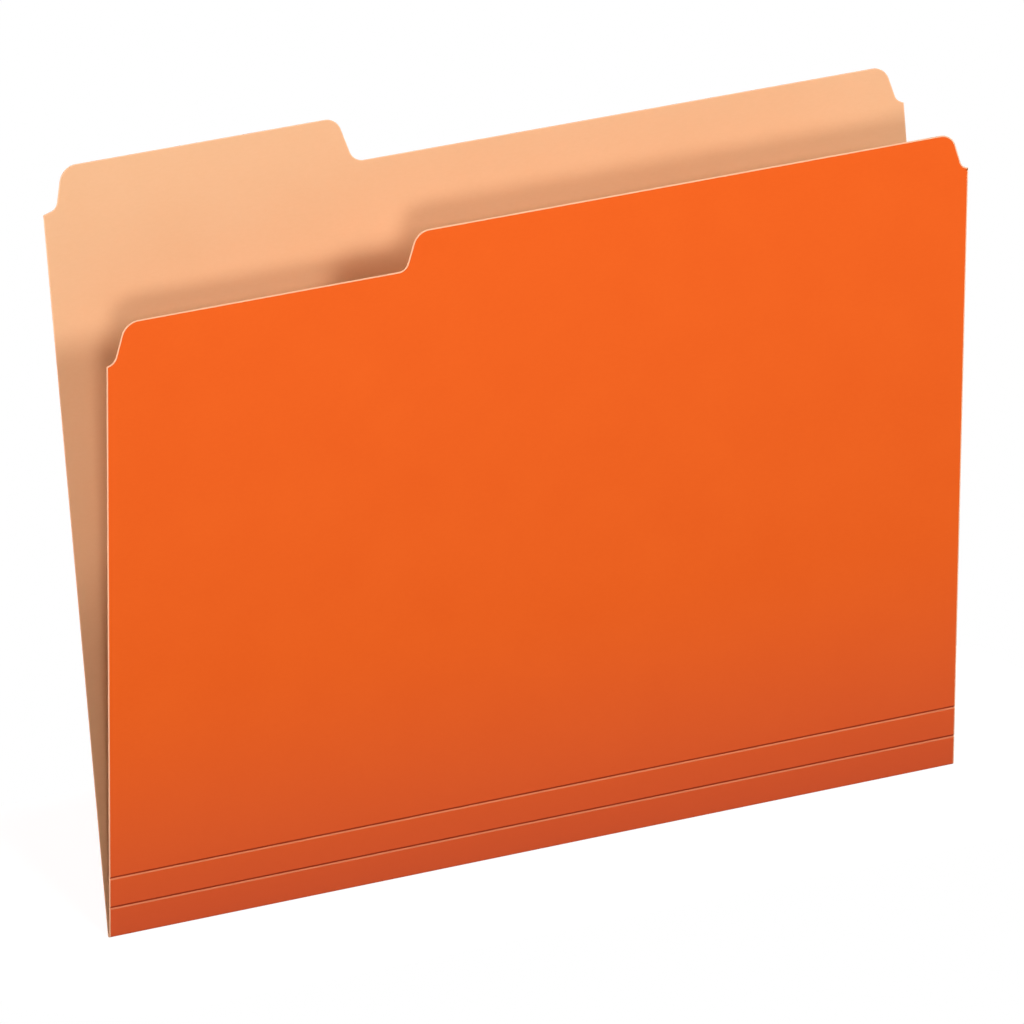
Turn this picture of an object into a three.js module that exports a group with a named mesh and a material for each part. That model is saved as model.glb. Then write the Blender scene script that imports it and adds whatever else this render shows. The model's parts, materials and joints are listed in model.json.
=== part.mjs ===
// A letter-size file folder with a one-third-cut tab at the left, standing a little open.
// The real thing is one die-cut sheet of board, scored twice and folded once. Each flat area
// of the sheet, and each crease between two of them, is a mesh of its own here.
// Millimetres, +Z up. X runs along the bottom fold and the front panel faces -Y.
import * as THREE from "three";

// The sheet
const boardThickness = 0.28;
const sheetWidth = 295.275; // along the bottom fold

// Heights, each taken along its panel from the underside of the bottom fold
const rearHeight = 241.3; // to the top edge of the tab
const tabRise = 14.5; // tab above the rest of the rear panel's top edge
const frontHeight = 215.9; // to the high part of the front panel's top edge
const frontStepDrop = 12.3; // how much lower the front panel is in front of the tab
const lowerScoreHeight = 10;
const scoreSpacing = 10; // from the lower score up to the upper one

// The bottom fold
const openAngle = 11.15; // degrees between the two panels as the folder stands
const foldRadius = 0.5; // from the fold's axis to the middle of the board
const foldGap = 0.05; // between the end of the rolled fold and the rear panel
const swingGap = 0.2; // between the rolled fold and the strip that swings out from it

// The two pressed scores
const scoreWidth = 1.2;
const scoreDepth = 0.2; // groove outside, bead of the same height inside
const scoreGap = 0.06; // between a score and the flat board on either side of it

// The steps in the top edges, where the tab begins
const stepFromLeft = 102.35; // left side edge to the middle of each step
const tabStep = { lean: 17.4, rootRadius: 4.8, crownRadius: 5.4 };
const frontStep = { lean: 17, rootRadius: 3.1, crownRadius: 5.5 };

// The cut corners at the ends of the top edges: a shoulder on the side edge, then a root,
// a steep slant and a rounded crown. lean is the slant's angle from upright, rise the
// shoulder's from level, and inset is where the slant stands, slantDepth below the top.
const slantDepth = 6.6;
const rearLeftEnd = { drop: 13.9, inset: 5.89, lean: 13, rise: 15, rootRadius: 3.3, crownRadius: 5.9 };
const rearRightEnd = { drop: 12.5, inset: 3.9, lean: 16, rise: 25, rootRadius: 3.3, crownRadius: 5.6 };
const frontLeftEnd = { drop: 13.5, inset: 4.35, lean: 16, rise: 18, rootRadius: 3.6, crownRadius: 5.8 };
const frontRightEnd = { drop: 12.3, inset: 3.9, lean: 18.2, rise: 11, rootRadius: 3.3, crownRadius: 5.7 };

// How finely the curves are cut
const cornerSegments = 5;
const foldSegments = 5;
const scoreSegments = 12;

// Worked out from the sizes above
const halfWidth = sheetWidth / 2;
const halfBoard = boardThickness / 2;
const foldReach = foldRadius + halfBoard; // fold axis to the fold's underside
const leanBack = THREE.MathUtils.degToRad(openAngle);
const degTan = (degrees) => Math.tan(THREE.MathUtils.degToRad(degrees));
const fromAxis = (height) => height - foldReach; // a height along a panel, counted from the fold's axis
const upperScoreHeight = lowerScoreHeight + scoreSpacing;
const scoreReach = scoreWidth / 2 + scoreGap; // score line to the flat board beside it

const makeBoard = (color) => new THREE.MeshStandardMaterial({ color, roughness: 0.8, metalness: 0 });
const outerOrange = 0xf26422;
const innerPeach = 0xfcbb8d;

// A closed outline through corners [x, y, radius], each with a radius rounded by an arc.
// An arc is kept inside the edges that it rounds.
function roundedOutline(corners) {
  const points = corners.map(([x, y]) => new THREE.Vector2(x, y));
  const at = (i) => (i + corners.length) % corners.length;
  const outline = new THREE.Shape();
  outline.moveTo(points[0].x, points[0].y);
  for (let i = 1; i < corners.length; i++) {
    const corner = points[i];
    const radius = corners[i][2];
    if (!radius) {
      outline.lineTo(corner.x, corner.y);
      continue;
    }
    const toLast = points[at(i - 1)].clone().sub(corner);
    const toNext = points[at(i + 1)].clone().sub(corner);
    const room = Math.min(
      toLast.length() * (corners[at(i - 1)][2] ? 0.49 : 0.98),
      toNext.length() * (corners[at(i + 1)][2] ? 0.49 : 0.98),
    );
    const turnsLeft = toLast.clone().negate().cross(toNext) > 0;
    const halfInner = toLast.angleTo(toNext) / 2;
    const cut = Math.min(radius / Math.tan(halfInner), room); // corner to where its arc starts
    const arcRadius = cut * Math.tan(halfInner);
    const start = corner.clone().addScaledVector(toLast.normalize(), cut);
    const end = corner.clone().addScaledVector(toNext.normalize(), cut);
    const inward = toLast.clone().add(toNext).normalize();
    const centre = corner.clone().addScaledVector(inward, arcRadius / Math.sin(halfInner));
    const startAngle = start.sub(centre).angle();
    const endAngle = end.sub(centre).angle();
    outline.absarc(centre.x, centre.y, arcRadius, startAngle, endAngle, !turnsLeft);
  }
  outline.closePath();
  return outline;
}

// The corners of one cut end of a top edge, from the side edge inwards. side is 1 or -1.
function endCorners(side, top, end) {
  const slantRun = degTan(end.lean);
  const shoulderRun = degTan(end.rise);
  const shoulder = top - end.drop;
  const belowSlant = end.drop - slantDepth;
  const rootInset = (end.inset - belowSlant * slantRun) / (1 - shoulderRun * slantRun);
  const crownInset = end.inset + slantDepth * slantRun;
  return [
    [side * halfWidth, shoulder, 0],
    [side * (halfWidth - rootInset), shoulder + rootInset * shoulderRun, end.rootRadius],
    [side * (halfWidth - crownInset), top, end.crownRadius],
  ];
}

// The two corners of the step between the right and left parts of a top edge, right one first.
function stepCorners(rightTop, leftTop, step) {
  const middle = stepFromLeft - halfWidth;
  const halfRun = (Math.abs(leftTop - rightTop) / 2) * degTan(step.lean);
  const climbs = leftTop > rightTop;
  return [
    [middle + halfRun, rightTop, climbs ? step.rootRadius : step.crownRadius],
    [middle - halfRun, leftTop, climbs ? step.crownRadius : step.rootRadius],
  ];
}

// A panel's whole outline, anticlockwise from its lower left corner.
function panelOutline(bottom, rightTop, leftTop, rightEnd, leftEnd, step) {
  return roundedOutline([
    [-halfWidth, bottom, 0],
    [halfWidth, bottom, 0],
    ...endCorners(1, rightTop, rightEnd),
    ...stepCorners(rightTop, leftTop, step),
    ...endCorners(-1, leftTop, leftEnd).reverse(),
  ]);
}

// A flat piece of board, centred on the plane of its outline.
function flatBoard(outline) {
  const settings = { depth: boardThickness, bevelEnabled: false, curveSegments: cornerSegments };
  return new THREE.ExtrudeGeometry(outline, settings).translate(0, 0, -halfBoard);
}

// A section drawn across the fold, run along the whole width of the sheet. The section's
// first axis becomes the geometry's Y and its second axis the geometry's Z.
function alongFold(section, curveSegments) {
  const settings = { depth: sheetWidth, bevelEnabled: false, curveSegments };
  const turn = new THREE.Matrix4().makeBasis(
    new THREE.Vector3(0, 1, 0),
    new THREE.Vector3(0, 0, 1),
    new THREE.Vector3(1, 0, 0),
  );
  return new THREE.ExtrudeGeometry(section, settings).applyMatrix4(turn).translate(-halfWidth, 0, 0);
}

// A strip of the sheet between two heights.
function stripBoard(bottom, top) {
  return flatBoard(
    roundedOutline([
      [-halfWidth, bottom, 0],
      [halfWidth, bottom, 0],
      [halfWidth, top, 0],
      [-halfWidth, top, 0],
    ]),
  );
}

// A pressed score: the board dips smoothly to the inside and comes back.
function scoreBoard(height) {
  const middleLine = [];
  for (let i = 0; i <= scoreSegments; i++) {
    const across = (i / scoreSegments - 0.5) * scoreWidth;
    const dip = (scoreDepth / 2) * (1 + Math.cos((2 * Math.PI * across) / scoreWidth));
    middleLine.push(new THREE.Vector2(height + across, -dip));
  }
  const offset = new THREE.Vector2(0, halfBoard);
  const outside = middleLine.map((point) => point.clone().add(offset)).reverse();
  const inside = middleLine.map((point) => point.clone().sub(offset));
  return alongFold(new THREE.Shape([...inside, ...outside]), 1);
}

// The rolled fold: a part ring under the fold's axis, from the front panel round to the rear one.
function foldBoard() {
  const outer = foldRadius + halfBoard;
  const inner = foldRadius - halfBoard;
  const front = Math.PI;
  const bottom = 1.5 * Math.PI;
  const rear = 2 * Math.PI - leanBack;
  const section = new THREE.Shape();
  section.absarc(0, 0, outer, front, bottom, false);
  section.absarc(0, 0, outer, bottom, rear, false);
  section.absarc(0, 0, inner, rear, bottom, true);
  section.absarc(0, 0, inner, bottom, front, true);
  section.closePath();
  return alongFold(section, foldSegments);
}

function namedMesh(name, geometry, color) {
  const mesh = new THREE.Mesh(geometry, makeBoard(color));
  mesh.name = name;
  return mesh;
}

// The sheet's front side, upright: its Y is up the panel and its Z points out of the folder.
function frontSide() {
  const side = new THREE.Group();
  side.rotation.x = Math.PI / 2;
  const lowerLine = fromAxis(lowerScoreHeight);
  const upperLine = fromAxis(upperScoreHeight);
  const outline = panelOutline(
    upperLine + scoreReach,
    fromAxis(frontHeight),
    fromAxis(frontHeight - frontStepDrop),
    frontRightEnd,
    frontLeftEnd,
    frontStep,
  );
  const pieces = [
    namedMesh("lower_expansion_strip", stripBoard(swingGap, lowerLine - scoreReach), outerOrange),
    namedMesh("lower_score", scoreBoard(lowerLine), outerOrange),
    namedMesh("upper_expansion_strip", stripBoard(lowerLine + scoreReach, upperLine - scoreReach), outerOrange),
    namedMesh("upper_score", scoreBoard(upperLine), outerOrange),
    namedMesh("front_panel", flatBoard(outline), outerOrange),
  ];
  for (const piece of pieces) {
    piece.position.z = foldRadius;
    side.add(piece);
  }
  return side;
}

// The sheet's rear side, leaning back: its Y is up the panel and its Z points into the folder.
function rearSide() {
  const side = new THREE.Group();
  side.rotation.x = Math.PI / 2 - leanBack;
  const outline = panelOutline(
    foldGap,
    fromAxis(rearHeight - tabRise),
    fromAxis(rearHeight),
    rearRightEnd,
    rearLeftEnd,
    tabStep,
  );
  const panel = namedMesh("rear_panel", flatBoard(outline), innerPeach);
  panel.position.z = -foldRadius;
  side.add(panel);
  return side;
}

// The fold's axis stands over the sheet's underside, and the whole folder is centred front to back.
const frontmost = -foldReach;
const rearmost = fromAxis(rearHeight) * Math.sin(leanBack) + foldReach * Math.cos(leanBack);
const folder = new THREE.Group();
folder.position.set(0, -(frontmost + rearmost) / 2, foldReach);
folder.add(rearSide(), namedMesh("bottom_fold", foldBoard(), outerOrange), frontSide());

export default folder;
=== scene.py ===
import json
import math

import bmesh
import bpy
from mathutils import Matrix, Vector


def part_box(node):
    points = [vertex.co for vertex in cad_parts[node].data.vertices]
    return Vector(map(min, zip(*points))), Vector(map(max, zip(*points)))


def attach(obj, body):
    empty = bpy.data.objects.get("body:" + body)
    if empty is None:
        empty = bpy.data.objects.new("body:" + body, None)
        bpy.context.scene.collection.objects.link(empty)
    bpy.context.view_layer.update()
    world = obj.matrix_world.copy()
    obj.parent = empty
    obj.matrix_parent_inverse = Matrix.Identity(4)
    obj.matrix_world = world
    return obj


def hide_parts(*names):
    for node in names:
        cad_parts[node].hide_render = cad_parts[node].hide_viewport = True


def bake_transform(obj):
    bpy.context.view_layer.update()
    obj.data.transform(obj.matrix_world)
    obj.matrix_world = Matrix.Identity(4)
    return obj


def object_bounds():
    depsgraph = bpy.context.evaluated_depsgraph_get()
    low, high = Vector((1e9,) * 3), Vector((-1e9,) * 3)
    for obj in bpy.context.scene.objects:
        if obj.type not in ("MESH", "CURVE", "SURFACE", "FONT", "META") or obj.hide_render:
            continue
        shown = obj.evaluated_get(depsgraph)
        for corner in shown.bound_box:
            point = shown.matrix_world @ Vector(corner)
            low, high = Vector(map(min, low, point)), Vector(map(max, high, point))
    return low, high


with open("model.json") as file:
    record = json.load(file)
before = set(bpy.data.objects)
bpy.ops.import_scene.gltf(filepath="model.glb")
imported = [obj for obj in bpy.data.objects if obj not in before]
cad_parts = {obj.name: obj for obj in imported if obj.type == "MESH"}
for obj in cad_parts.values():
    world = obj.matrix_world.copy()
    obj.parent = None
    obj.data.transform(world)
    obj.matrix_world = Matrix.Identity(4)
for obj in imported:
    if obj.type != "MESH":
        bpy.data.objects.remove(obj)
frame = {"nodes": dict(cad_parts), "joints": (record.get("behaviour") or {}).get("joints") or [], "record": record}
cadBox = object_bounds()
millimetre = 0.001
nearly = 1e-6  # metres within which two points count as one
faceOn = 0.99  # cosine above which a face looks the same way as its panel
print("frame loaded:", ", ".join(sorted(frame["nodes"])))


# What the frame says about the sheet

def jointPlace(name):
    return Vector(next(joint for joint in frame["joints"] if joint["name"] == name)["pos_m"])


def heightsOf(node):
    low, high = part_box(node)
    return low.z - foldFront.z, high.z - foldFront.z


frontLow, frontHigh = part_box("front_panel")
foldAxis = jointPlace("fold_opening")
foldFront = jointPlace("lower_strip_swing")  # where the rolled fold meets the front side
rearMount = next(m for m in frame["record"]["mounts"] if m["name"] == "rear_outer_face")
rearOut = Vector(rearMount["axis"]).normalized()
leanBack = math.atan2(-rearOut.z, rearOut.y)

sheet = {
    "halfWidth": (frontHigh.x - frontLow.x) / 2,
    "thickness": frontHigh.y - frontLow.y,
    "foldRadius": foldAxis.y - foldFront.y,  # fold axis to the middle of the board
    "edgeRound": 0.05 * millimetre,
    "edgeBow": 0.3,  # how far in the middle of that rounding lies, as a share of it
    "wornAndHighlitBand": 0.44 * millimetre,  # how far in from a cut edge the colour is rubbed off and a highlight is painted
    "wornAndHighlitHalfway": 0.95,  # how strong the wear and painted highlight still are in the middle of that band
    "sharpAngle": 50,  # degrees between two faces that no longer shade as one
}

# Each side of the sheet: where its flat board starts, up the board, and out of the folder
frontSide = {"origin": foldFront, "up": Vector((0, 0, 1)), "out": Vector((0, -1, 0))}
rearSide = {
    "origin": foldAxis + rearOut * sheet["foldRadius"],
    "up": Vector((0, math.sin(leanBack), math.cos(leanBack))),
    "out": rearOut,
}


# Node trees: arithmetic on sockets, and one method for any other node

class Value:
    def __init__(self, tree, socket):
        self.tree = tree
        self.socket = socket

    def math(self, operation, *others):
        return self.tree.math(operation, self, *others)

    def __add__(self, other):
        return self.math("ADD", other)

    __radd__ = __add__

    def __sub__(self, other):
        return self.math("SUBTRACT", other)

    def __rsub__(self, other):
        return self.tree.math("SUBTRACT", other, self)

    def __mul__(self, other):
        return self.math("MULTIPLY", other)

    __rmul__ = __mul__

    def __truediv__(self, other):
        return self.math("DIVIDE", other)

    def __rtruediv__(self, other):
        return self.tree.math("DIVIDE", other, self)

    def __gt__(self, other):
        return self.math("GREATER_THAN", other)

    def __neg__(self):
        return self.math("MULTIPLY", -1)

    def clamped(self):
        return self.math("MINIMUM", 1).math("MAXIMUM", 0)


class Tree:
    def __init__(self, nodes, links):
        self.nodes = nodes
        self.links = links

    def put(self, socket, value):
        if isinstance(value, Value):
            value = value.socket
        if isinstance(value, bpy.types.NodeSocket):
            self.links.new(value, socket)
        else:
            socket.default_value = value

    def node(self, kind, settings=None, sockets=None):
        made = self.nodes.new(kind)
        for name, value in (settings or {}).items():
            setattr(made, name, value)
        for key, value in (sockets or {}).items():
            self.put(made.inputs[key], value)
        return made

    def out(self, node, key=0):
        return Value(self, node.outputs[key])

    def math(self, operation, *values):
        return self.out(self.node("ShaderNodeMath", {"operation": operation}, dict(enumerate(values))))

    def mixColour(self, share, first, second):
        # A Mix node's colours go into its sockets 6 and 7, and come out of its socket 2.
        mix = self.node("ShaderNodeMix", {"data_type": "RGBA"}, {0: share, 6: first, 7: second})
        return self.out(mix, 2)


# Finishes of the board: dyed outside, pale inside, and the bare core that the die leaves

boardGrain = {
    "fibre": {"scale": 1500, "detail": 5, "roughness": 0.62},
    "fibreStretch": (0.35, 1.0, 1.0),  # fibres lie along the sheet
    "tooth": {"scale": 5200, "detail": 3, "roughness": 0.55},
    "cloud": {"scale": 42, "detail": 4, "roughness": 0.5},
    "toothHeight": 0.010 * millimetre,
    "toothStrength": 0.35,
    "toothInBump": 0.6,
    "fibreInBump": 0.4,
    "toothInGloss": 0.16,  # how far the tooth and the clouds change the roughness
    "cloudInGloss": 0.08,
}
noiseMean = 0.5


def newMaterial(name):
    material = bpy.data.materials.new(name)
    material.use_nodes = True
    material.node_tree.nodes.clear()
    return material, Tree(material.node_tree.nodes, material.node_tree.links)


def objectPlace(tree):
    return tree.out(tree.node("ShaderNodeTexCoord"), "Object")


def noiseLayer(tree, place, layer):
    noise = tree.node("ShaderNodeTexNoise", None, {
        "Vector": place, "Scale": layer["scale"],
        "Detail": layer["detail"], "Roughness": layer["roughness"],
    })
    return tree.out(noise, "Fac")


def paperGrain(tree):
    place = objectPlace(tree)
    stretch = tree.node("ShaderNodeMapping", None, {
        "Vector": place, "Scale": boardGrain["fibreStretch"],
    })
    fibre = noiseLayer(tree, tree.out(stretch), boardGrain["fibre"])
    tooth = noiseLayer(tree, place, boardGrain["tooth"])
    cloud = noiseLayer(tree, place, boardGrain["cloud"])
    return fibre, tooth, cloud


def finishBoard(tree, colour, face, fibre, tooth, cloud):
    bump = tree.node("ShaderNodeBump", None, {
        "Strength": boardGrain["toothStrength"], "Distance": boardGrain["toothHeight"],
        "Height": tooth * boardGrain["toothInBump"] + fibre * boardGrain["fibreInBump"],
    })
    roughness = face["roughness"] + (tooth - noiseMean) * boardGrain["toothInGloss"]
    roughness = roughness + (cloud - noiseMean) * boardGrain["cloudInGloss"]
    shader = tree.node("ShaderNodeBsdfPrincipled", None, {
        "Base Color": colour, "Roughness": roughness,
        "Specular IOR Level": face["specular"], "Normal": tree.out(bump),
    })
    tree.node("ShaderNodeOutputMaterial", None, {"Surface": tree.out(shader)})


def attribute(tree, name):
    return tree.out(tree.node("ShaderNodeAttribute", {"attribute_name": name}), "Fac")


outerFace = {
    "orange": (0.915, 0.1300, 0.0114, 1),
    "deepOrange": (0.868, 0.1120, 0.0095, 1),  # where the dye lies thicker
    "cloudMottle": 0.9,
    "fibreMottle": 0.7,
    "mottle": 0.32,  # the share of the deeper colour on average
    "paintedFootShade": (0.815, 0.1120, 0.0320, 1),  # painted shade, darker and bluer towards the fold
    "paintedFootShadeHeight": 85 * millimetre,
    "paintedFootShadeCurve": 1.5,
    "pressed": (0.33, 0.028, 0.008, 1),  # painted shade on the upper wall of a score groove
    "pressedShare": 0.95,
    "pressedCurve": 0.4,
    "paintedGrooveHighlight": (0.60, 0.480, 0.280, 1),  # painted highlight on its lower wall
    "paintedGrooveHighlightShare": 0.32,
    "paintedGrooveHighlightCurve": 0.6,
    "paintedGrooveHighlightBase": 0.75,  # the painted highlight where there is no fibre, and what the fibres add
    "paintedGrooveHighlightFibre": 0.5,
    "pale": (0.990, 0.535, 0.325, 1),  # rubbed-off dye with a painted highlight along the cut edges
    "paleStart": 0.12,  # how strong the wear and painted highlight have to be before they show
    "paleBreak": 0.5,  # how far the fibres break it up
    "paleGain": 2.4,
    "roughness": 0.72,
    "specular": 0.12,
}
innerFace = {
    "peach": (0.840, 0.476, 0.264, 1),
    "deepPeach": (0.810, 0.443, 0.234, 1),
    "cloudMottle": 0.8,
    "fibreMottle": 0.9,
    "mottle": 0.3,
    # Rubbed-off dye with a painted highlight along the cut edges
    "pale": (0.990, 0.600, 0.390, 1),
    "paleStart": 0.3,
    "paleBreak": 0.5,
    "paleGain": 1.6,
    "paleShare": 0.7,
    "roughness": 0.78,
    "specular": 0.12,
}
boardCore = {
    # The core's own colour, made paler than the inner face, which partly paints a highlight on the cut edges
    "pale": (0.990, 0.560, 0.345, 1),
    "dusty": (0.930, 0.440, 0.235, 1),
    "fibreLayers": 2.2,
    "toothLayers": 1.2,
    "dust": 0.35,
    "roughness": 0.88,
    "specular": 0.08,
}


def mottleShare(face, fibre, cloud):
    clouds = (cloud - noiseMean) * face["cloudMottle"]
    return (clouds + (fibre - noiseMean) * face["fibreMottle"] + face["mottle"]).clamped()


# Rubbed-off dye with a painted highlight, along the cut edges
def paleShare(tree, face, fibre):
    wornAndHighlit = attribute(tree, "wornAndHighlit") - face["paleStart"] + (fibre - noiseMean) * face["paleBreak"]
    return (wornAndHighlit * face["paleGain"]).clamped()


# Painted shade: how strongly the colour darkens towards the fold
def paintedFootShadeShare(tree):
    place = tree.node("ShaderNodeSeparateXYZ", None, {0: objectPlace(tree)})
    share = (1 - tree.out(place, 2) / outerFace["paintedFootShadeHeight"]).clamped()
    return share.math("POWER", outerFace["paintedFootShadeCurve"])


def makeOuterFace():
    material, tree = newMaterial("orange_board")
    fibre, tooth, cloud = paperGrain(tree)
    mottle = mottleShare(outerFace, fibre, cloud)
    colour = tree.mixColour(mottle, outerFace["orange"], outerFace["deepOrange"])
    # Painted shade, darker and bluer towards the fold
    colour = tree.mixColour(paintedFootShadeShare(tree), colour, outerFace["paintedFootShade"])
    crease = attribute(tree, "crease")
    # Painted highlight on the lower wall of each score groove
    paintedGrooveHighlight = crease.math("MAXIMUM", 0).math("POWER", outerFace["paintedGrooveHighlightCurve"])
    paintedGrooveHighlight = paintedGrooveHighlight * outerFace["paintedGrooveHighlightShare"]
    paintedGrooveHighlight = paintedGrooveHighlight * (outerFace["paintedGrooveHighlightBase"] + fibre * outerFace["paintedGrooveHighlightFibre"])
    # Painted shade on the upper wall of each score groove
    pressed = (-crease).math("MAXIMUM", 0).math("POWER", outerFace["pressedCurve"])
    pressed = pressed * outerFace["pressedShare"]
    colour = tree.mixColour(paintedGrooveHighlight.clamped(), colour, outerFace["paintedGrooveHighlight"])
    colour = tree.mixColour(pressed.clamped(), colour, outerFace["pressed"])
    # Rubbed-off dye with a painted highlight along the cut edges
    colour = tree.mixColour(paleShare(tree, outerFace, fibre), colour, outerFace["pale"])
    finishBoard(tree, colour, outerFace, fibre, tooth, cloud)
    return material


def makeInnerFace():
    material, tree = newMaterial("peach_board")
    fibre, tooth, cloud = paperGrain(tree)
    mottle = mottleShare(innerFace, fibre, cloud)
    colour = tree.mixColour(mottle, innerFace["peach"], innerFace["deepPeach"])
    # Rubbed-off dye with a painted highlight along the cut edges
    rubbedAndHighlit = paleShare(tree, innerFace, fibre) * innerFace["paleShare"]
    colour = tree.mixColour(rubbedAndHighlit, colour, innerFace["pale"])
    finishBoard(tree, colour, innerFace, fibre, tooth, cloud)
    return material


def makeBoardCore():
    material, tree = newMaterial("cut_board_core")
    fibre, tooth, cloud = paperGrain(tree)
    layers = (fibre - noiseMean) * boardCore["fibreLayers"]
    layers = layers + (tooth - noiseMean) * boardCore["toothLayers"] + boardCore["dust"]
    colour = tree.mixColour(layers.clamped(), boardCore["pale"], boardCore["dusty"])
    finishBoard(tree, colour, boardCore, fibre, tooth, cloud)
    return material


outsideBoard, insideBoard, coreBoard = makeOuterFace(), makeInnerFace(), makeBoardCore()
print("finishes made:", outsideBoard.name, insideBoard.name, coreBoard.name)


# The cut edge, the same on every piece: inset from the edge, height over the middle of
# the board, and wear with a painted highlight. The die leaves a small rounding, beside which the dye is rubbed off
# and a highlight is painted.

def cutEdge(thickness, edgeRound, wornAndHighlitBand):
    half = thickness * 0.5
    bow = edgeRound * sheet["edgeBow"]
    return [
        (0.0, half - edgeRound, 1.0),
        (bow, half - bow, 1.0),
        (edgeRound, half, 1.0),
        (wornAndHighlitBand * 0.5, half, sheet["wornAndHighlitHalfway"]),
        (wornAndHighlitBand, half, 0.0),
    ]


def finishMesh(mesh):
    shell = bmesh.new()
    shell.from_mesh(mesh)
    bmesh.ops.recalc_face_normals(shell, faces=shell.faces)
    shell.to_mesh(mesh)
    shell.free()
    mesh.shade_smooth()
    mesh.set_sharp_from_angle(angle=math.radians(sheet["sharpAngle"]))


def newObject(name, mesh):
    piece = bpy.data.objects.new(name, mesh)
    bpy.context.scene.collection.objects.link(piece)
    return piece


# Flat boards, from the outlines of the frame's own panels

def outlineOf(node, side, seamHeight):
    # The outline as (across, up) points, anticlockwise, with its lowest edge on the seam.
    shell = bmesh.new()
    shell.from_mesh(frame["nodes"][node].data)
    bmesh.ops.remove_doubles(shell, verts=shell.verts, dist=nearly)
    facing = {face for face in shell.faces if face.normal.dot(side["out"]) > faceOn}
    rim = [edge for edge in shell.edges if sum(face in facing for face in edge.link_faces) == 1]
    neighbours = {}
    for edge in rim:
        first, second = edge.verts
        neighbours.setdefault(first, []).append(second)
        neighbours.setdefault(second, []).append(first)
    walk = [rim[0].verts[0], rim[0].verts[1]]
    while walk[-1] is not walk[0]:
        walk.append(next(vert for vert in neighbours[walk[-1]] if vert is not walk[-2]))
    places = [vert.co - side["origin"] for vert in walk[:-1]]
    shell.free()
    outline = [Vector((place.x, place.dot(side["up"]))) for place in places]
    area = sum(a.cross(b) for a, b in zip(outline, outline[1:] + outline[:1]))
    lowest = min(point.y for point in outline)
    for point in outline:
        if point.y < lowest + nearly:
            point.y = seamHeight
    return outline if area > 0 else outline[::-1]


cutCurve = {
    "sharpAngle": 35,  # degrees, a turn beyond which a corner stays sharp
    "straightRatio": 2.2,  # an edge that is this much longer than the next one is straight
    "flatAngle": 1,  # degrees, a bend below which an edge isn't divided
    "steps": 4,  # pieces that any other edge is divided into
    "sameLine": 1e-3,  # sine of a turn below which two edges lie on one line
}


def smoothOutline(outline):
    # Rounds the chords of the cut curves, and keeps the straight edges and the sharp corners.
    count = len(outline)
    tangents = []
    for i, point in enumerate(outline):
        before = point - outline[i - 1]
        after = outline[(i + 1) % count] - point
        if before.angle(after) > math.radians(cutCurve["sharpAngle"]):
            tangents.append((before.normalized(), after.normalized()))
            continue
        longer, shorter = sorted((before, after), key=lambda edge: -edge.length)
        straight = longer.length > cutCurve["straightRatio"] * shorter.length
        along = (longer if straight else before + after).normalized()
        tangents.append((along, along))
    smooth = []
    for i, point in enumerate(outline):
        target = outline[(i + 1) % count]
        chord = (target - point).length
        leave, arrive = tangents[i][1], tangents[(i + 1) % count][0]
        flat = leave.angle(arrive) < math.radians(cutCurve["flatAngle"])
        steps = 1 if flat else cutCurve["steps"]
        for step in range(steps):
            t = step / steps
            smooth.append(
                point * (2 * t**3 - 3 * t**2 + 1) + leave * chord * (t**3 - 2 * t**2 + t)
                + target * (3 * t**2 - 2 * t**3) + arrive * chord * (t**3 - t**2)
            )
    return smooth


def liesOn(height, first, second):
    return max(abs(first.y - height), abs(second.y - height)) < nearly


def insetOutline(outline, distance, seamHeight):
    # Moves each edge inwards, apart from the one on the seam, which only gets shorter.
    moved = []
    count = len(outline)
    for i, point in enumerate(outline):
        edges = ((outline[i - 1], point), (point, outline[(i + 1) % count]))
        inward = [Vector((a.y - b.y, b.x - a.x)).normalized() for a, b in edges]
        by = [0 if liesOn(seamHeight, a, b) else distance for a, b in edges]
        spread = inward[0].cross(inward[1])
        if abs(spread) < cutCurve["sameLine"]:
            moved.append(point + inward[0] * by[0])
            continue
        moved.append(point + Vector((
            (by[0] * inward[1].y - by[1] * inward[0].y) / spread,
            (by[1] * inward[0].x - by[0] * inward[1].x) / spread,
        )))
    return moved


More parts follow.
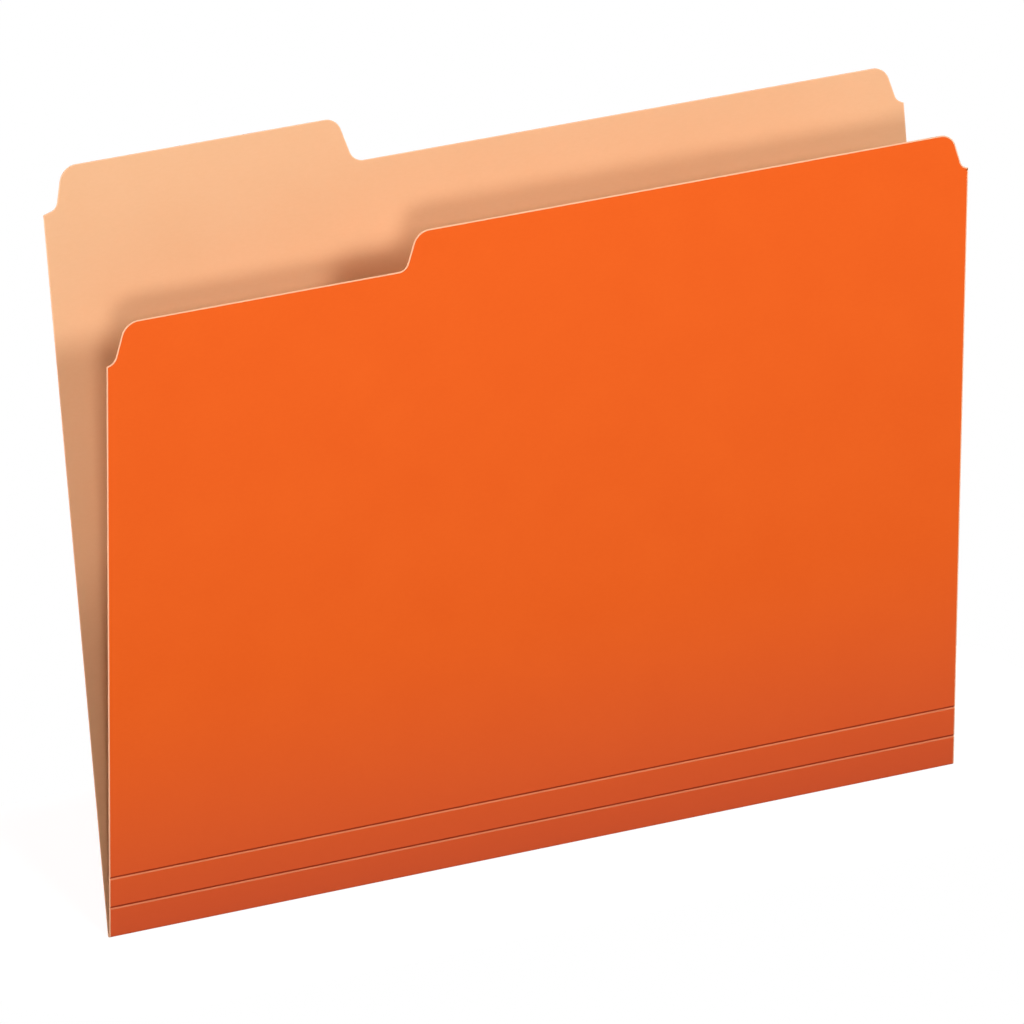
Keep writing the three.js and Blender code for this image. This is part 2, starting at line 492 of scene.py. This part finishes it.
def makePanel(name, node, side, seamHeight):
    outside, inside, core = range(3)  # the order of the materials
    outline = smoothOutline(outlineOf(node, side, seamHeight))
    count = len(outline)
    half = sheet["thickness"] / 2
    edge = cutEdge(sheet["thickness"], sheet["edgeRound"], sheet["wornAndHighlitBand"])
    flat = [(2 * sheet["wornAndHighlitBand"], half, 0.0)] + edge[::-1]  # a plain ring inside the worn band
    rings = flat + [(inset, -height, wornAndHighlit) for inset, height, wornAndHighlit in flat[::-1]]
    rounding = rings.index(edge[2])  # the ring where the outer face ends
    cut = range(rounding, len(rings) - 1 - rounding)
    shell = bmesh.new()
    loops = []
    for inset, height, wornAndHighlit in rings:
        loop = []
        for point in insetOutline(outline, inset, seamHeight):
            place = side["origin"] + side["up"] * point.y + side["out"] * height
            place.x += point.x
            loop.append(shell.verts.new(place))
        loops.append(loop)
    following = outline[1:] + outline[:1]
    seam = next(i for i in range(count) if liesOn(seamHeight, outline[i], following[i]))
    for k, (upper, lower) in enumerate(zip(loops, loops[1:])):
        for i in range(count):
            if i != seam:
                j = (i + 1) % count
                face = shell.faces.new((upper[i], lower[i], lower[j], upper[j]))
                plain = outside if rings[k][1] > 0 else inside
                face.material_index = core if k in cut else plain
    shell.faces.new(loops[0]).material_index = outside
    shell.faces.new(loops[-1][::-1]).material_index = inside
    across = [loop[seam] for loop in loops] + [loop[(seam + 1) % count] for loop in loops[::-1]]
    shell.faces.new(across).material_index = core
    mesh = bpy.data.meshes.new(name)
    shell.to_mesh(mesh)
    shell.free()
    wear = [wornAndHighlit for inset, height, wornAndHighlit in rings for i in range(count)]
    mesh.attributes.new("wornAndHighlit", "FLOAT", "POINT").data.foreach_set("value", wear)
    for material in (outsideBoard, insideBoard, coreBoard):
        mesh.materials.append(material)
    finishMesh(mesh)
    return newObject(name, mesh)


# Strips and creases: a tree runs a middle line along the width and wraps the board round it

def newGeometryTree(name, sizes):
    group = bpy.data.node_groups.new(name, "GeometryNodeTree")
    group.interface.new_socket("Geometry", in_out="INPUT", socket_type="NodeSocketGeometry")
    for size in sizes:
        group.interface.new_socket(size, in_out="INPUT", socket_type="NodeSocketFloat")
    group.interface.new_socket("Geometry", in_out="OUTPUT", socket_type="NodeSocketGeometry")
    tree = Tree(group.nodes, group.links)
    given = tree.node("NodeGroupInput")
    return group, tree, {size: tree.out(given, size) for size in sizes}


def pick(step, values):
    chosen = values[0]
    for k in range(1, len(values)):
        chosen = chosen + (step > k - 0.5) * (values[k] - values[k - 1])
    return chosen


stripSizes = ["Half Width", "Thickness", "Edge Round", "Worn And Highlit Band", "Rows"]

# How far each column, from the cut edge inwards, counts as the board's face, and the mean
# from which what lies between two columns has the face's finish
stripFace = {"columns": [0.0, 0.2, 0.4, 1.0, 1.0, 1.0], "least": 0.75}


def wrapBoard(tree, size, middleLine):
    # For a share of the way, middleLine gives the place (up, out), the way out, and the crease.
    # Each column of the grid is one section of the board, from one cut end of the width to the
    # other, and its rows go along the outer face and back along the inner one.
    edge = cutEdge(size["Thickness"], size["Edge Round"], size["Worn And Highlit Band"])
    columns = 2 * (len(edge) + 1)
    around = size["Rows"] * 2 + 2
    grid = tree.node("GeometryNodeMeshGrid", None, {
        "Vertices X": columns, "Vertices Y": around + 1,
    })
    index = tree.out(tree.node("GeometryNodeInputIndex"))
    column = ((index + 0.5) / (around + 1)).math("FLOOR")
    row = (index - column * (around + 1)).math("MODULO", around)
    inner = row > size["Rows"] + 0.5
    share = (row * (1 - inner) + (around - 1 - row) * inner) / size["Rows"]
    step = column.math("MINIMUM", columns - 1 - column)
    end = (column > columns / 2 - 0.5) * 2 - 1
    inset = pick(step, [0.0] + [inset for inset, height, wornAndHighlit in edge])
    facing = 1 - inner * 2
    outward = pick(step, [0.0] + [height for inset, height, wornAndHighlit in edge]) * facing
    (up, out), (wayUp, wayOut), crease = middleLine(share)
    place = tree.node("ShaderNodeCombineXYZ", None, {
        "X": end * (size["Half Width"] - inset),
        "Y": up + wayUp * outward,
        "Z": out + wayOut * outward,
    })
    marks = {
        "wornAndHighlit": pick(step, [1.0] + [wornAndHighlit for inset, height, wornAndHighlit in edge]),
        "crease": crease * (1 - inner),
        "side": pick(step, stripFace["columns"]) * facing,
    }
    geometry = tree.out(tree.node("GeometryNodeSetPosition", None, {
        "Geometry": tree.out(grid, "Mesh"), "Position": tree.out(place),
    }))
    for name, value in marks.items():
        geometry = tree.out(tree.node("GeometryNodeStoreNamedAttribute", {
            "data_type": "FLOAT", "domain": "POINT",
        }, {"Geometry": geometry, "Name": name, "Value": value}))
    geometry = tree.out(tree.node("GeometryNodeMergeByDistance", None, {
        "Geometry": geometry, "Distance": nearly,
    }))
    geometry = tree.out(tree.node("GeometryNodeRealizeInstances", None, {"Geometry": geometry}))
    side = tree.out(tree.node("GeometryNodeInputNamedAttribute", {
        "data_type": "FLOAT",
    }, {"Name": "side"}))
    onOutside = side > stripFace["least"]
    onInside = -side > stripFace["least"]
    for material, chosen in ((coreBoard, True), (outsideBoard, onOutside), (insideBoard, onInside)):
        geometry = tree.out(tree.node("GeometryNodeSetMaterial", None, {
            "Geometry": geometry, "Selection": chosen, "Material": material,
        }))
    tree.node("NodeGroupOutput", None, {0: geometry})


def makeScoredTree():
    extra = ["Low", "High", "Groove Depth"]
    group, tree, size = newGeometryTree("scored_strip", stripSizes + extra)

    def middleLine(share):
        length = size["High"] - size["Low"]
        turn = share * (2 * math.pi)
        dip = (1 - turn.math("COSINE")) * size["Groove Depth"] / 2
        slope = turn.math("SINE") * size["Groove Depth"] * -math.pi / length
        slant = (slope * slope + 1).math("SQRT")
        # Positive on the groove's lower wall, where a highlight is painted, and negative on its upper wall, where
        # shade is painted
        crease = turn.math("SINE") * (size["Groove Depth"] > 0)
        return (size["Low"] + share * length, -dip), (-slope / slant, 1 / slant), crease

    wrapBoard(tree, size, middleLine)
    return group


def makeRolledTree():
    extra = ["Radius", "Turn"]
    group, tree, size = newGeometryTree("rolled_fold", stripSizes + extra)

    def middleLine(share):
        angle = share * size["Turn"]
        wayUp = -angle.math("SINE")
        wayOut = angle.math("COSINE")
        return (wayUp * size["Radius"], (wayOut - 1) * size["Radius"]), (wayUp, wayOut), share * 0

    wrapBoard(tree, size, middleLine)
    return group


def makeStrip(name, group, rows, extra):
    sizes = {
        "Half Width": sheet["halfWidth"],
        "Thickness": sheet["thickness"],
        "Edge Round": sheet["edgeRound"],
        "Worn And Highlit Band": sheet["wornAndHighlitBand"],
        "Rows": rows,
        **extra,
    }
    carrier = newObject(name + "Carrier", bpy.data.meshes.new(name + "Carrier"))
    modifier = carrier.modifiers.new("board", "NODES")
    modifier.node_group = group
    for item in group.interface.items_tree:
        if item.name in sizes:
            modifier[item.identifier] = float(sizes[item.name])
    depsgraph = bpy.context.evaluated_depsgraph_get()
    mesh = bpy.data.meshes.new_from_object(carrier.evaluated_get(depsgraph), depsgraph=depsgraph)
    mesh.name = name
    carrier.modifiers.remove(modifier)
    bpy.data.objects.remove(carrier)
    axes = (Vector((1, 0, 0)), frontSide["up"], frontSide["out"])
    mesh.transform(Matrix.Translation(frontSide["origin"]) @ Matrix(axes).transposed().to_4x4())
    mesh.attributes.remove(mesh.attributes["side"])
    finishMesh(mesh)
    return newObject(name, mesh)


# The sheet, from the rear panel round the fold to the front panel

creases = {
    "foldRows": 20,
    "scoreRows": 20,
    "swingRows": 10,
    "swingHeight": 0.8 * millimetre,  # of the crease between the rolled fold and the lower strip
}

scoredTree = makeScoredTree()
rolledTree = makeRolledTree()
lowerScoreHeights = heightsOf("lower_score")
upperScoreHeights = heightsOf("upper_score")
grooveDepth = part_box("upper_score")[1].y - frontHigh.y


def atHeight(height):
    return frontSide["origin"] + frontSide["up"] * height


def makeFlatStrip(name, low, high):
    return makeStrip(name, scoredTree, 1, {"Low": low, "High": high, "Groove Depth": 0})


def makeScoreCrease(name, heights):
    low, high = heights
    extra = {"Low": low, "High": high, "Groove Depth": grooveDepth}
    return makeStrip(name, scoredTree, creases["scoreRows"], extra)


def addRearBoard():
    piece = makePanel("rearBoard", "rear_panel", rearSide, 0.0)
    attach(piece, "rear")
    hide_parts("rear_panel")


def addFoldCrease():
    extra = {"Radius": sheet["foldRadius"], "Turn": math.pi - leanBack}
    piece = makeStrip("foldCrease", rolledTree, creases["foldRows"], extra)
    tuple(rearSide["origin"])
    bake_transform(piece)
    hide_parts("bottom_fold")


def addLowerStrip():
    crease = makeStrip("swingCrease", scoredTree, creases["swingRows"], {
        "Low": 0, "High": creases["swingHeight"], "Groove Depth": 0,
    })
    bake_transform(crease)
    strip = makeFlatStrip("lowerStrip", creases["swingHeight"], lowerScoreHeights[0])
    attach(strip, "lower_strip")
    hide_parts("lower_expansion_strip")


def addLowerScore():
    piece = makeScoreCrease("lowerScoreCrease", lowerScoreHeights)
    low, high = (tuple(atHeight(height)) for height in lowerScoreHeights)
    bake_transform(piece)
    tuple(low)
    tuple(high)
    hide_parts("lower_score")


def addUpperStrip():
    piece = makeFlatStrip("upperStrip", lowerScoreHeights[1], upperScoreHeights[0])
    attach(piece, "upper_strip")
    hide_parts("upper_expansion_strip")


def addUpperScore():
    piece = makeScoreCrease("upperScoreCrease", upperScoreHeights)
    low, high = (tuple(atHeight(height)) for height in upperScoreHeights)
    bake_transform(piece)
    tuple(low)
    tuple(high)
    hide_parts("upper_score")


def addFrontBoard():
    piece = makePanel("frontBoard", "front_panel", frontSide, upperScoreHeights[1])
    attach(piece, "front")
    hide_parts("front_panel")


addRearBoard()
addFoldCrease()
addLowerStrip()
addLowerScore()
addUpperStrip()
addUpperScore()
addFrontBoard()
print("sheet made: rear board, fold, strips, scores and front board")


# Floor, light and camera

studio = {
    "floorAround": 55 * millimetre,  # how far the floor goes beyond the folder
    "floorCornerSteps": 12,
    "floorColour": (0.18, 0.18, 0.18, 1),
    "floorGlow": 0.90,
    "worldAbove": 0.05,
    "worldBelow": 0.51,
    "worldBlend": 0.25,  # how gently the one turns into the other, round the horizon
    "spotPower": 4,  # times an area lamp's power, because a spot's is counted all round it
}

# Each lamp: where it is round the folder, and how bright it makes a white surface facing it.
# The low one is a spot, whose cone fades out over the foot of the folder. The side ones are a
# little behind the front panel, so that they only reach the cut edges, the inside and the back.
lamps = {
    "low": {
        "azimuth": -23, "elevation": 14, "distance": 4.0, "radius": 0.36, "level": 0.375,
        "aimAbove": 17.3, "coneDegrees": 38.66, "coneBlend": 0.306,
    },
    "high": {"azimuth": 12, "elevation": 31, "distance": 2.0, "width": 0.5, "level": 0.42},
    "top": {"azimuth": -10, "elevation": 78, "distance": 2.0, "width": 0.25, "level": 0.43},
    "leftSide": {"azimuth": -98, "elevation": 5, "distance": 2.0, "width": 0.25, "level": 0.55},
    "rightSide": {"azimuth": 98, "elevation": 5, "distance": 2.0, "width": 0.25, "level": 0.40},
    "back": {"azimuth": 160, "elevation": 20, "distance": 1.6, "width": 1.2, "level": 0.60},
}
view = {
    "azimuth": -27.017,
    "elevation": 23.430,
    "roll": 0.5185,
    "distance": 3.8952,
    "focalPixels": 12650,
    "imagePixels": 1024,
    "sensor": 36,  # its width in millimetres
    "target": Vector((-10.249, -23.903, 116.799)) * millimetre,
}


def seenDirectly(tree):
    path = tree.node("ShaderNodeLightPath")
    rays = [tree.out(path, kind) for kind in ("Is Camera Ray", "Is Glossy Ray", "Is Transmission Ray")]
    return rays[0].math("MAXIMUM", rays[1]).math("MAXIMUM", rays[2])


def addFloor():
    material, tree = newMaterial("white_floor")
    diffuse = tree.out(tree.node("ShaderNodeBsdfDiffuse", None, {"Color": studio["floorColour"]}))
    glow = tree.out(tree.node("ShaderNodeEmission", None, {"Strength": studio["floorGlow"]}))
    lit = tree.out(tree.node("ShaderNodeAddShader", None, {0: diffuse, 1: glow}))
    mixed = tree.out(tree.node("ShaderNodeMixShader", None, {
        0: seenDirectly(tree), 1: diffuse, 2: lit,
    }))
    tree.node("ShaderNodeOutputMaterial", None, {"Surface": mixed})
    around = studio["floorAround"]
    reach = (sheet["halfWidth"] + around, cadBox[1][1] + around)
    shell = bmesh.new()
    bmesh.ops.create_grid(shell, x_segments=1, y_segments=1, size=1)
    bmesh.ops.scale(shell, vec=(reach[0], reach[1], 1), verts=shell.verts)
    bmesh.ops.bevel(
        shell, geom=shell.verts[:], offset=around,
        segments=studio["floorCornerSteps"], profile=0.5, affect="VERTICES",
    )
    mesh = bpy.data.meshes.new("floor")
    shell.to_mesh(mesh)
    shell.free()
    mesh.materials.append(material)
    newObject("floor", mesh)


def lightWorld():
    world = bpy.data.worlds.new("studio")
    bpy.context.scene.world = world
    world.use_nodes = True
    world.node_tree.nodes.clear()
    tree = Tree(world.node_tree.nodes, world.node_tree.links)
    direction = tree.out(tree.node("ShaderNodeTexCoord"), "Generated")
    place = tree.node("ShaderNodeSeparateXYZ", None, {0: direction})
    above = (tree.out(place, 2) / studio["worldBlend"] + 0.5).clamped()
    plain = above * (studio["worldAbove"] - studio["worldBelow"]) + studio["worldBelow"]
    strength = plain + seenDirectly(tree) * (1 - plain)
    background = tree.node("ShaderNodeBackground", None, {
        "Color": (1, 1, 1, 1), "Strength": strength,
    })
    tree.node("ShaderNodeOutputWorld", None, {"Surface": tree.out(background)})


def awayFrom(azimuth, elevation):
    # From the folder towards a place round it. Azimuth 0 is in front, and it grows to the right.
    azimuth, elevation = math.radians(azimuth), math.radians(elevation)
    level = math.cos(elevation)
    return Vector((math.sin(azimuth) * level, -math.cos(azimuth) * level, math.sin(elevation)))


def addLamp(name, light):
    spot = "coneDegrees" in light
    lamp = bpy.data.lights.new(name, "SPOT" if spot else "AREA")
    lit = bpy.data.objects.new(name, lamp)
    bpy.context.scene.collection.objects.link(lit)
    away = awayFrom(light["azimuth"], light["elevation"])
    lit.location = view["target"] + away * light["distance"]
    lamp.energy = light["level"] * (math.pi * light["distance"]) ** 2  # watts for that level
    if not spot:
        lamp.size = light["width"]
        lit.rotation_euler = (lit.location - view["target"]).to_track_quat("Z", "Y").to_euler()
        return
    lamp.energy *= studio["spotPower"]
    lamp.shadow_soft_size = light["radius"]
    lamp.spot_size = math.radians(light["coneDegrees"])
    lamp.spot_blend = light["coneBlend"]
    # Turned up from the foot so that the fade runs level along the front
    toFoot = (Vector((0, frontLow.y, 0)) - lit.location).normalized()
    upward = Vector((1, 0, 0)).cross(toFoot).normalized()
    above = math.radians(light["aimAbove"])
    aim = toFoot * math.cos(above) + upward * math.sin(above)
    lit.rotation_euler = (-aim).to_track_quat("Z", "Y").to_euler()


def addCamera():
    roll = math.radians(view["roll"])
    back = awayFrom(view["azimuth"], view["elevation"])
    level = Vector((0, 0, 1)).cross(back).normalized()
    upright = back.cross(level)
    right = level * math.cos(roll) + upright * math.sin(roll)
    top = upright * math.cos(roll) - level * math.sin(roll)
    lens = bpy.data.cameras.new("camera")
    lens.sensor_width = view["sensor"]
    lens.lens = view["focalPixels"] / view["imagePixels"] * view["sensor"]
    camera = bpy.data.objects.new("camera", lens)
    bpy.context.scene.collection.objects.link(camera)
    place = view["target"] + back * view["distance"]
    camera.matrix_world = Matrix((
        (right.x, top.x, back.x, place.x),
        (right.y, top.y, back.y, place.y),
        (right.z, top.z, back.z, place.z),
        (0, 0, 0, 1),
    ))
    bpy.context.scene.camera = camera


addFloor()
lightWorld()
for name, light in lamps.items():
    addLamp(name, light)
addCamera()
bpy.context.scene.view_settings.view_transform = "Standard"
print("floor, light and camera set")
